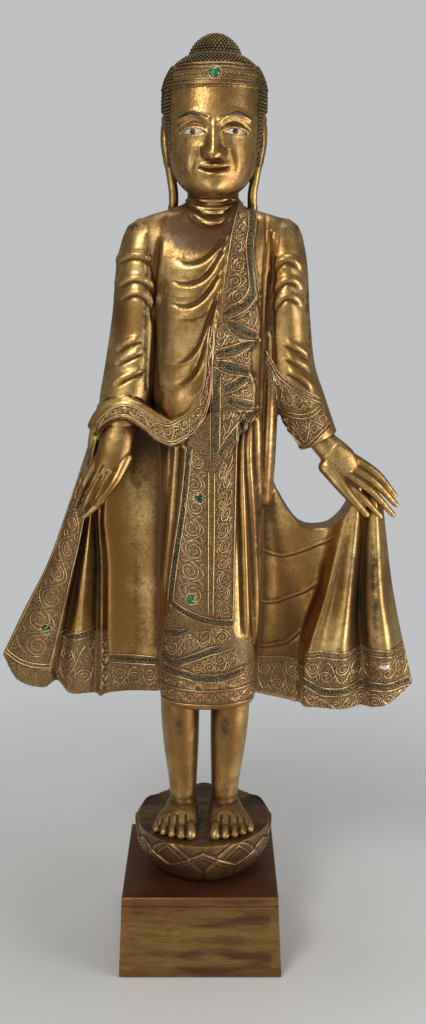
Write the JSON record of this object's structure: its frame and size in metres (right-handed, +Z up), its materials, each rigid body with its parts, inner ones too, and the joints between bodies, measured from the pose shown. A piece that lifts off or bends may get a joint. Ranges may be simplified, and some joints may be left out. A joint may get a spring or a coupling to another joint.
{
  "type": "standing buddha statue",
  "caption": "Carved and gilded standing Buddha holding its robe open, on a lotus pedestal and a boxed wooden plinth, with inlaid glass.",
  "frame": {"origin": "middle of the plinth's underside, on the surface it stands on", "axes": "+Z up; the figure faces -Y; +X is to the right of someone who faces it"},
  "size_m": [0.5336, 0.21, 1.1603],
  "materials": {
    "gold_leaf": "aged gold leaf over red-brown lacquer on carved wood, rubbed through on high places, dark in the folds",
    "worn_gold": "worn gold leaf with much red-brown lacquer showing",
    "plinth_gilt": "boards rubbed with gold over red-brown, streaked along the grain",
    "green_glass": "green mirror-backed glass, cut with a low dome",
    "clear_glass": "clear mirror-backed glass with a pink cast"
  },
  "bodies": {
    "root": {"figure": "gold_leaf", "lotus_pedestal": "worn_gold", "plinth": "plinth_gilt", "headband_gem": "green_glass", "panel_gem_upper": "green_glass", "panel_gem_lower": "green_glass", "hem_gem": "green_glass", "left_wing_gem": "green_glass", "right_wing_gem": "clear_glass"}
  },
  "joints": []
}
